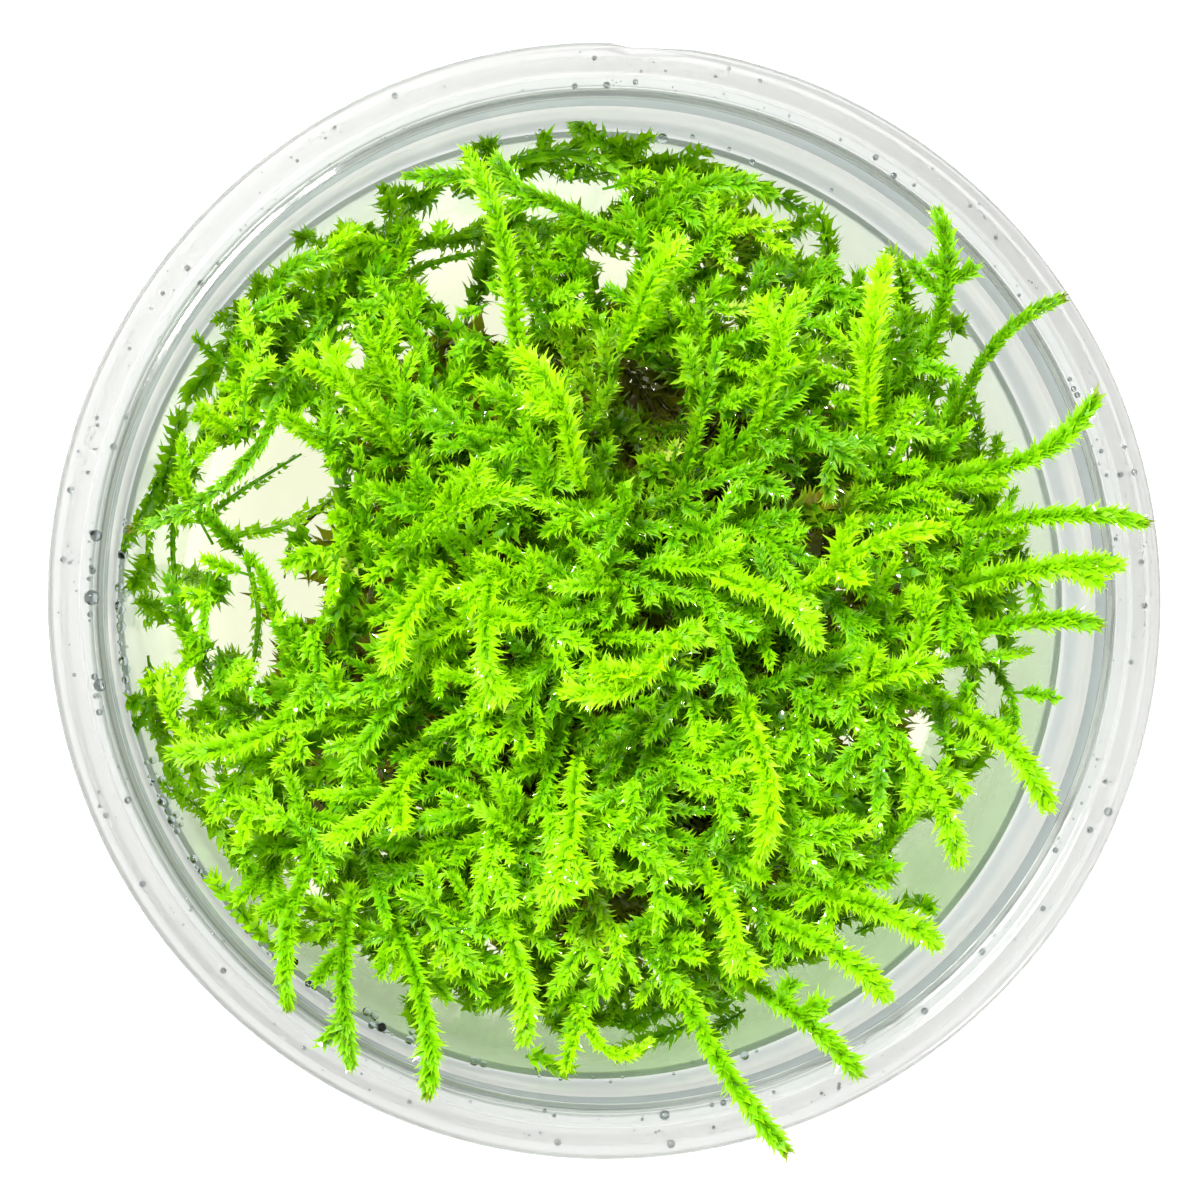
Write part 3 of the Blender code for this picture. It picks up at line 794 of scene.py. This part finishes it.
def growMoss(name, rng, paths, shade, look, finish, slot, node, depthPaintedShade=0.0, pieces=1):
    # leaves and stems on all the paths, cut into pieces by bearing
    middle = paths[:, paths.shape[1] // 2]
    order = np.argsort(np.arctan2(middle[:, 1], middle[:, 0]))
    for k, part in enumerate(np.array_split(order, pieces)):
        label = f"{name}_{k + 1}" if pieces > 1 else name
        leaves = leavesOn(rng, paths[part], look, shade[part])
        # the holes widen with depth, so that no dark old leaf shows at their edge
        level, over, most = clump["widen"]
        widening = 1 + np.clip((level - leaves["base"][:, 2]) / over, 0, most)
        leaves = thin(leaves, ~inSightHole(leaves["base"], widening))
        x, y, z = leaves["base"].T
        depth = np.clip(topHeight(x, y) + 1 - z, 0, 9)
        # leaves further under the top get a darker tone: painted shade, partly older leaves being darker
        leaves["tone"] = np.clip(leaves["tone"] + regionShade(x, y) - depthPaintedShade * depth, 0, 1)
        brown = spotAmount(x, y, clump["brownSpots"]) * np.clip(depth / 4, *clump["brownBy"])
        leaves["aged"] = np.maximum(leaves["aged"], np.clip(brown, 0, 0.95) * rng.random(len(x)) ** 0.7)
        leaves["pale"] = (spotAmount(x, y, clump["paleSpots"]) > rng.uniform(0.25, 1, len(x))) * 0.8
        mesh = mossMesh(label, leaves, paths[part], look["stem"] * 1.2, shade[part] * 0.5)
        place(label, mesh, finish, slot, node)
        print(label, len(leaves["tone"]), "leaves")


def growLayer(name, layer, look, finish, slot):
    rng = np.random.default_rng(layer["seed"])
    paths = carpetPaths(rng, layer)
    shade = rng.uniform(*layer["shade"], len(paths))
    paths, shade = growPaths(rng, paths, shade, layer["branches"], layer["branchLength"])
    growMoss(name, rng, paths, shade, look, finish, slot, "moss_cushion",
             layer["depthPaintedShade"], layer["pieces"])


wallMoss = {
    "seed": 37, "count": 260, "length": (9, 17), "slant": 55, "heights": (3.5, 27.0),
    "reach": (3.0, 36.0),                # lowest and highest place of any shoot
    "inset": (0.9, 4.5), "outer": 0.62,  # distances from the wall, and the share that grows near it
    "samples": 10, "shade": (0.25, 0.7), "pieces": 2,
}
wallLook = dict(carpetLook, perMm=8.5, bare=0.05, leaf=1.3, slim=0.26, roll=0.3, spread=48)


def growWallMoss(finish):
    # shoots that climb the inside of the wall, seen through the cup from the side
    rng = np.random.default_rng(wallMoss["seed"])
    n = wallMoss["count"]
    turn = rng.uniform(0, math.tau, n)
    z = rng.uniform(*wallMoss["heights"], n)
    length = rng.uniform(*wallMoss["length"], n)
    slant = np.radians(rng.normal(0, wallMoss["slant"], n))
    bend = rng.normal(0, 0.5, n)
    inset = np.where(rng.random(n) < wallMoss["outer"], *wallMoss["inset"]) + rng.normal(0, 0.25, n)
    inset = inset + 2.0 * np.clip(np.cos(turn), 0, 1)
    s = np.linspace(0, 1, wallMoss["samples"])
    heading = slant[:, None] + bend[:, None] * s
    step = (length / len(s))[:, None]
    height = np.clip(z[:, None] + np.cumsum(np.cos(heading), axis=1) * step, *wallMoss["reach"])
    around = np.cumsum(np.sin(heading), axis=1) * step
    reach = innerRadius(height) - inset[:, None] - 0.25 * np.sin(3 * s + bend[:, None])
    angle = turn[:, None] + around / 33.0
    paths = polar(reach, angle, height)
    # shoots further in from the wall get a darker tone: painted shade
    shade = rng.uniform(*wallMoss["shade"], n) - 0.03 * inset
    paths, which = clearOfHoles(paths)
    growMoss("moss_at_wall", rng, paths, shade[which], wallLook, finish, "young_moss", "moss_cushion",
             pieces=wallMoss["pieces"])


oldGrowth = {
    "seed": 41, "count": 190, "radius": 23.0, "heights": (2.6, 16.0), "reach": 20.0, "samples": 10,
    "shade": (0.1, 0.7), "centre": (2.0, -1.5), "wind": 4.0,
    "litter": 6500, "litterRadius": 27.0, "litterLeaf": (1.6, 3.0), "litterSlim": 0.24,
    "litterDepth": (2.1, 5.0), "litterClear": 2.2, "litterTwigs": 40,
}
oldLook = dict(carpetLook, perMm=4.4, bare=0.0, leaf=1.7, slim=0.30, flat=0.2, roll=1.0, spread=50,
               stem=0.17, budTone=0.0)


def discPoints(rng, count, radius):
    turn = rng.uniform(0, math.tau, count)
    reach = radius * np.sqrt(rng.random(count))
    cx, cy = oldGrowth["centre"]
    return reach * np.cos(turn) + cx, reach * np.sin(turn) + cy


def growOldGrowth(finish):
    # the tangle of old stems that holds the clump together
    rng = np.random.default_rng(oldGrowth["seed"])
    n = oldGrowth["count"]
    x, y = discPoints(rng, n, oldGrowth["radius"])
    start = np.stack([x, y, rng.uniform(*oldGrowth["heights"], n)], axis=1)
    heading = rng.uniform(0, math.tau, n)
    way = polar(1.0, heading, rng.normal(0, 0.12, n)) * oldGrowth["reach"]
    first = start + 0.33 * way + rng.normal(0, oldGrowth["wind"], (n, 3))
    second = start + 0.66 * way + rng.normal(0, oldGrowth["wind"], (n, 3))
    paths = along3(start, first, second, start + way, oldGrowth["samples"])
    far = np.hypot(paths[..., 0], paths[..., 1])
    paths[..., :2] *= np.minimum(1, oldGrowth["radius"] / np.maximum(far, 1e-6))[..., None]
    paths[..., 2] = np.clip(paths[..., 2], *oldGrowth["heights"])
    shade = rng.uniform(*oldGrowth["shade"], n)
    paths, which = clearOfHoles(paths)
    growMoss("old_growth_tangle", rng, paths, shade[which], oldLook, finish, "old_moss", "old_growth_mat")


def strewLitter(finish):
    # dead leaves and scraps that lie in a felt on the floor under the clump
    rng = np.random.default_rng(oldGrowth["seed"] + 1)
    n = oldGrowth["litter"]
    x, y = discPoints(rng, n, oldGrowth["litterRadius"])
    heading = rng.uniform(0, math.tau, n)
    tilt = rng.normal(0, 0.18, n)
    length = rng.uniform(*oldGrowth["litterLeaf"], n)
    leaves = {
        "base": np.stack([x, y, rng.uniform(*oldGrowth["litterDepth"], n)], axis=1),
        "along": polar(1.0, heading, tilt),
        "out": np.stack([-np.sin(heading), np.cos(heading), rng.normal(0, 0.15, n)], axis=1),
        "length": length, "width": length * oldGrowth["litterSlim"],
        "spread": rng.normal(0, 0.3, n), "curl": rng.normal(0, 0.15, n),
        "twist": rng.normal(1.45, 0.3, n), "tone": rng.uniform(0.0, 0.6, n), "aged": rng.random(n) * 0.5,
        "pale": np.zeros(n),
    }
    leaves = thin(leaves, ~inSightHole(leaves["base"], oldGrowth["litterClear"]))
    # some of the scraps have a bit of bare twig
    few = oldGrowth["litterTwigs"]
    twigs = np.stack([leaves["base"][:few], leaves["base"][:few] + leaves["along"][:few] * 3], axis=1)
    mesh = mossMesh("old_growth_litter", leaves, twigs, oldLook["stem"], np.full(few, 0.3))
    place("old_growth_litter", mesh, finish, "old_moss", "old_growth_mat")


threads = {
    "seed": 53, "samples": 20, "shade": (0.5, 0.95), "leafy": 0.75,
    # thin strands that cross the open places at the left and hug the back wall, as points on each
    "routes": (
        ((-29.6, 6.6, 23), (-28.3, 7.2, 24), (-25.8, 9.0, 25), (-21.8, 11.4, 26)),
        ((-27.9, 4.6, 22), (-26.4, 5.4, 23), (-23.1, 6.1, 24), (-19.2, 8.2, 25)),
        ((-30.6, 12.4, 27), (-31.2, 8.6, 28), (-31.4, 3.0, 28), (-30.2, -3.2, 27), (-28.0, -7.6, 26)),
        ((-32.0, 12.6, 24), (-33.2, 7.8, 24), (-33.6, 3.6, 23), (-33.4, -1.6, 23)),
        ((-9.8, 30.4, 33), (-5.6, 32.8, 35), (-1.6, 33.2, 35), (2.6, 31.6, 35), (6.2, 28.6, 34)),
        ((-15.2, 25.0, 20), (-10.2, 27.0, 20), (-4.2, 27.6, 19), (1.6, 26.4, 19)),
        ((-13.6, 27.4, 22), (-7.6, 29.0, 22), (-1.6, 29.0, 21), (3.4, 27.2, 21)),
        ((-25.6, 2.6, 20), (-25.0, -0.6, 21), (-25.4, -4.2, 22), (-26.4, -7.0, 23)),
    ),
}
threadLook = dict(carpetLook, perMm=9.0, bare=0.0, leaf=0.85, slim=0.30, spread=26, close=14, stem=0.25,
                  flat=0.2)


def smoothPath(points, samples):
    # a Catmull-Rom curve through the points
    p = np.array(points, dtype=float)
    p = np.vstack([2 * p[0] - p[1], p, 2 * p[-1] - p[-2]])
    at = np.linspace(0, len(points) - 1, samples)
    i = np.minimum(at.astype(int), len(points) - 2)
    t = (at - i)[:, None]
    a, b, c, d = p[i], p[i + 1], p[i + 2], p[i + 3]
    return 0.5 * (2 * b + (c - a) * t + (2 * a - 5 * b + 4 * c - d) * t ** 2
                  + (3 * b - a - 3 * c + d) * t ** 3)


def growThreads(finish):
    rng = np.random.default_rng(threads["seed"])
    paths = np.array([smoothPath(route, threads["samples"]) for route in threads["routes"]])
    shade = rng.uniform(*threads["shade"], len(paths))
    leaves = leavesOn(rng, paths, threadLook, shade)
    leaves = thin(leaves, rng.random(len(leaves["tone"])) < threads["leafy"])
    mesh = mossMesh("moss_threads", leaves, paths, threadLook["stem"], shade)
    place("moss_threads", mesh, finish, "old_moss", "old_growth_mat")


# the same routes as the solid shoots: root (x, y), tip (x, y, z), sideways bow, arch, habit
longShoots = (
    ((23.4, 17.6), (23.2, 27.8, 47.5), -0.8, 0.8, "dark"),
    ((26.0, 13.8), (32.4, 21.6, 47.5), 1.6, 1.2, "thin"),
    ((25.0, 9.2), (34.4, 14.4, 49.0), -1.6, 0.6, "close"),
    ((27.0, 5.4), (38.0, 5.4, 48.5), 0.6, 1.4, "close"),
    ((26.6, 1.3), (36.2, 2.4, 48.5), 0.4, 1.2, "feather"),
    ((26.4, -2.4), (35.0, -1.8, 46.5), 0.6, 0.8, "close"),
    ((25.6, -7.8), (31.4, -15.0, 46.0), 0.8, 0.8, "feather"),
    ((21.4, -10.6), (25.0, -19.0, 45.5), 0.5, 0.8, "feather"),
    ((16.0, -21.4), (23.4, -24.8, 46.0), 0.6, 1.0, "feather"),
    ((12.6, -23.4), (19.8, -28.6, 46.0), 0.6, 1.0, "feather"),
    ((9.6, -27.2), (17.4, -33.8, 47.6), 0.5, 0.9, "close"),
    ((5.4, -28.0), (12.2, -39.2, 47.6), -0.6, 0.9, "close"),
    ((-15.0, -24.0), (-13.2, -35.0, 47.4), 0.8, 1.0, "close"),
    ((-18.6, -22.4), (-18.6, -33.0, 47.2), -0.5, 1.0, "dark"),
    ((-21.6, -19.6), (-23.0, -29.0, 45.6), -0.8, 0.8, "close"),
    ((-23.0, 16.4), (-34.4, 5.0, 41.2), 2.6, 1.6, "thin"),
    ((-1.0, 27.6), (-14.6, 30.6, 41.4), -1.0, 0.4, "dark"),
    ((4.0, 28.0), (12.2, 29.4, 42.2), 1.6, 0.6, "dark"),
    ((-24.6, 20.4), (-20.0, 24.8, 40.4), 1.4, 0.4, "dark"),
    ((-6.6, 19.6), (-10.4, 32.0, 45.4), -0.6, 1.0, "feather"),
    ((3.8, -3.6), (-3.8, -6.6, 49.0), 1.4, 0.8, "bright"),
    ((19.0, 12.4), (19.4, 24.2, 48.0), 0.8, 1.0, "bright"),
    ((9.0, 1.2), (14.4, -3.4, 48.6), 0.8, 1.0, "fresh"),
    ((10.2, -9.0), (10.4, -18.6, 47.0), 0.8, 1.0, "bright"),
    ((15.4, 1.6), (23.4, 5.0, 48.0), 0.8, 1.0, "bright"),
    ((18.0, -6.4), (23.4, -4.8, 46.8), 0.6, 0.8, "fresh"),
    ((-2.8, 10.6), (-6.8, 17.4, 47.6), -0.8, 0.8, "bright"),
    ((-13.4, 5.0), (-6.2, 7.4, 47.4), 0.8, 0.8, "fresh"),
    ((-12.8, 0.8), (-16.0, -5.0, 47.0), -0.6, 0.8, "bright"),
    ((-8.6, 0.4), (-8.4, -7.4, 47.4), -0.6, 0.8, "fresh"),
    ((-2.6, -14.0), (-5.0, -21.2, 46.6), 0.6, 0.8, "fresh"),
    ((-14.4, -12.6), (-20.2, -17.2, 46.0), 0.6, 0.8, "fresh"),
    ((-16.4, 12.6), (-20.4, 18.2, 45.4), 0.6, 0.8, "fresh"),
    ((2.0, 20.2), (5.2, 25.6, 45.8), 0.6, 0.8, "fresh"),
    ((11.4, 13.6), (13.4, 21.8, 47.0), 0.6, 0.8, "fresh"),
    ((-22.6, -8.4), (-31.4, -11.0, 43.4), 0.8, 0.8, "feather"),
    ((7.4, -20.4), (8.6, -26.4, 46.2), 0.6, 0.6, "fresh"),
    ((-7.6, -22.8), (-6.2, -31.6, 44.6), 0.6, 0.8, "feather"),
)
shootStart = {
    "seed": 500, "twigs": (1.8, 4.4),    # lengths of their side shoots
    "inset": 1.1,                        # how far over the underside of the solid the route starts
}
commonHabit = dict(carpetLook, bare=0.0, vary=0.0, stem=0.12, flat=0.35, shade=0.55, side=0.2)
habits = {
    "dark": dict(commonHabit, leaf=1.0, spread=40, shade=0.28, side=0.4, brown=0.02, budTone=0.0),
    "close": dict(commonHabit, leaf=1.12, spread=38, shade=0.46, side=0.2, brown=0.04, budTone=-0.1),
    "thin": dict(commonHabit, perMm=16.0, leaf=0.85, slim=0.30, spread=28, close=14, stem=0.17,
                 shade=0.22, side=0.3, brown=0.05, budTone=-0.1),
    "feather": dict(commonHabit, leaf=1.15, spread=50, flat=0.5, roll=0.25, shade=0.60, side=0.12),
    "fresh": dict(commonHabit, leaf=1.15, spread=52, shade=0.72, side=0.5),
    "bright": dict(commonHabit, leaf=1.2, spread=54, shade=0.88, side=0.5),
}


def longPath(root, tip, bow, arch, floor, samples=22):
    # the solid's route, carried on down into the crowd
    start = np.array([*root, floor])
    way = np.array(tip) - start
    side = np.array([-way[1], way[0], 0.0])
    side /= np.linalg.norm(side)
    s = np.linspace(-0.35, 1.0, samples)[:, None]
    hump = np.where(s > 0, 4 * s * (1 - s), 1.2 * s)
    path = start + way * s + side * (bow * hump)
    path[:, 2] = start[2] + way[2] * (1 - (1 - s[:, 0]) ** 2) + arch * hump[:, 0]
    return path


def makeLongShoots(finish):
    for number, (root, tip, bow, arch, habit) in enumerate(longShoots, start=1):
        node = f"shoot_{number:02d}"
        rng = np.random.default_rng(shootStart["seed"] + number)
        look = habits[habit]
        low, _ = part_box(node)
        path = longPath(root, tip, bow, arch, low[2] / mm + shootStart["inset"])[None]
        side, _ = branchesOf(rng, path, look["side"], shootStart["twigs"])
        paths = np.concatenate([path, side])
        shade = np.full(len(paths), look["shade"])
        leaves = leavesOn(rng, paths, look, shade)
        mesh = mossMesh(f"{node}_leaves", leaves, paths, look["stem"], shade * 0.5)
        place(f"{node}_leaves", mesh, finish, "shoot_moss", node)


youngGreen, shootGreen, oldBrown = (mossFinish(name) for name in ("young moss", "shoot moss", "old moss"))

makeCup()
makeDroplets()
print("cup and droplets made")
growLayer("moss_carpet", carpet, carpetLook, youngGreen, "young_moss")
growLayer("moss_understory", understory, understoryLook, youngGreen, "young_moss")
growWallMoss(youngGreen)
growOldGrowth(oldBrown)
strewLitter(oldBrown)
growThreads(youngGreen)
makeLongShoots(shootGreen)
print("moss grown")


studio = {
    "floor": 3.0, "floorColour": (0.15, 0.15, 0.15, 1), "glow": 1.12, "world": 1.0,
    "key": 13.0, "keySize": 0.16, "keyPlace": (-0.25, 0.30, 0.75),
    "fill": 4.0, "fillSize": 0.16, "fillPlace": (0.5, -0.45, 0.5),
    "bounces": {"max_bounces": 4, "diffuse_bounces": 2, "glossy_bounces": 1, "transmission_bounces": 4},
}


def areaLight(name, spot, size, power):
    data = bpy.data.lights.new(name, "AREA")
    data.size = size
    data.energy = power
    light = bpy.data.objects.new(name, data)
    light.location = spot
    light.rotation_mode = "QUATERNION"
    aim = Vector((0, 0, 0.03)) - Vector(spot)
    light.rotation_quaternion = aim.to_track_quat("-Z", "Y")
    bpy.context.scene.collection.objects.link(light)


def makeStudio():
    # a pale floor that glows like a light table
    scene = bpy.context.scene
    bpy.ops.mesh.primitive_plane_add(size=studio["floor"], location=(0, 0, -0.0003))
    floor = bpy.context.object
    floor.name = "studio_floor"
    f = Finish("studio floor")
    floor.data.materials.append(f.end(f.node("ShaderNodeBsdfPrincipled", None, {
        "Base Color": studio["floorColour"], "Roughness": 0.9, "Specular IOR Level": 0.0,
        "Emission Color": (1.0, 1.0, 1.0, 1), "Emission Strength": studio["glow"]})))
    world = bpy.data.worlds.new("studio")
    world.use_nodes = True
    world.node_tree.nodes["Background"].inputs[0].default_value = (1, 1, 1, 1)
    world.node_tree.nodes["Background"].inputs[1].default_value = studio["world"]
    scene.world = world
    areaLight("key", studio["keyPlace"], studio["keySize"], studio["key"])
    areaLight("fill", studio["fillPlace"], studio["fillSize"], studio["fill"])
    scene.view_settings.view_transform = "Standard"
    for key, value in studio["bounces"].items():
        setattr(scene.cycles, key, value)
    scene.cycles.caustics_reflective = False


view = {
    "target": (-0.79, -0.10, 45.0), "distance": 300.0, "leanX": 4.9, "leanY": 1.5, "field": 85.75,
}


def makeCamera():
    data = bpy.data.cameras.new("camera")
    data.sensor_width = 36.0
    data.lens = 36.0 * view["distance"] / view["field"]
    data.clip_start = 0.01
    camera = bpy.data.objects.new("camera", data)
    bpy.context.scene.collection.objects.link(camera)
    lean = Vector((-math.sin(math.radians(view["leanX"])), -math.sin(math.radians(view["leanY"])), 0))
    lean.z = math.sqrt(1 - lean.length_squared)
    camera.location = (Vector(view["target"]) + lean * view["distance"]) * mm
    right = Vector((0, 1, 0)).cross(lean).normalized()
    top = lean.cross(right)
    camera.rotation_mode = "QUATERNION"
    camera.rotation_quaternion = Matrix((right, top, lean)).transposed().to_quaternion()
    bpy.context.scene.camera = camera


makeStudio()
makeCamera()
meshes = [piece.data for piece in bpy.data.objects if piece.type == "MESH"]
print("triangles:", sum(len(mesh.loop_triangles) for mesh in meshes))
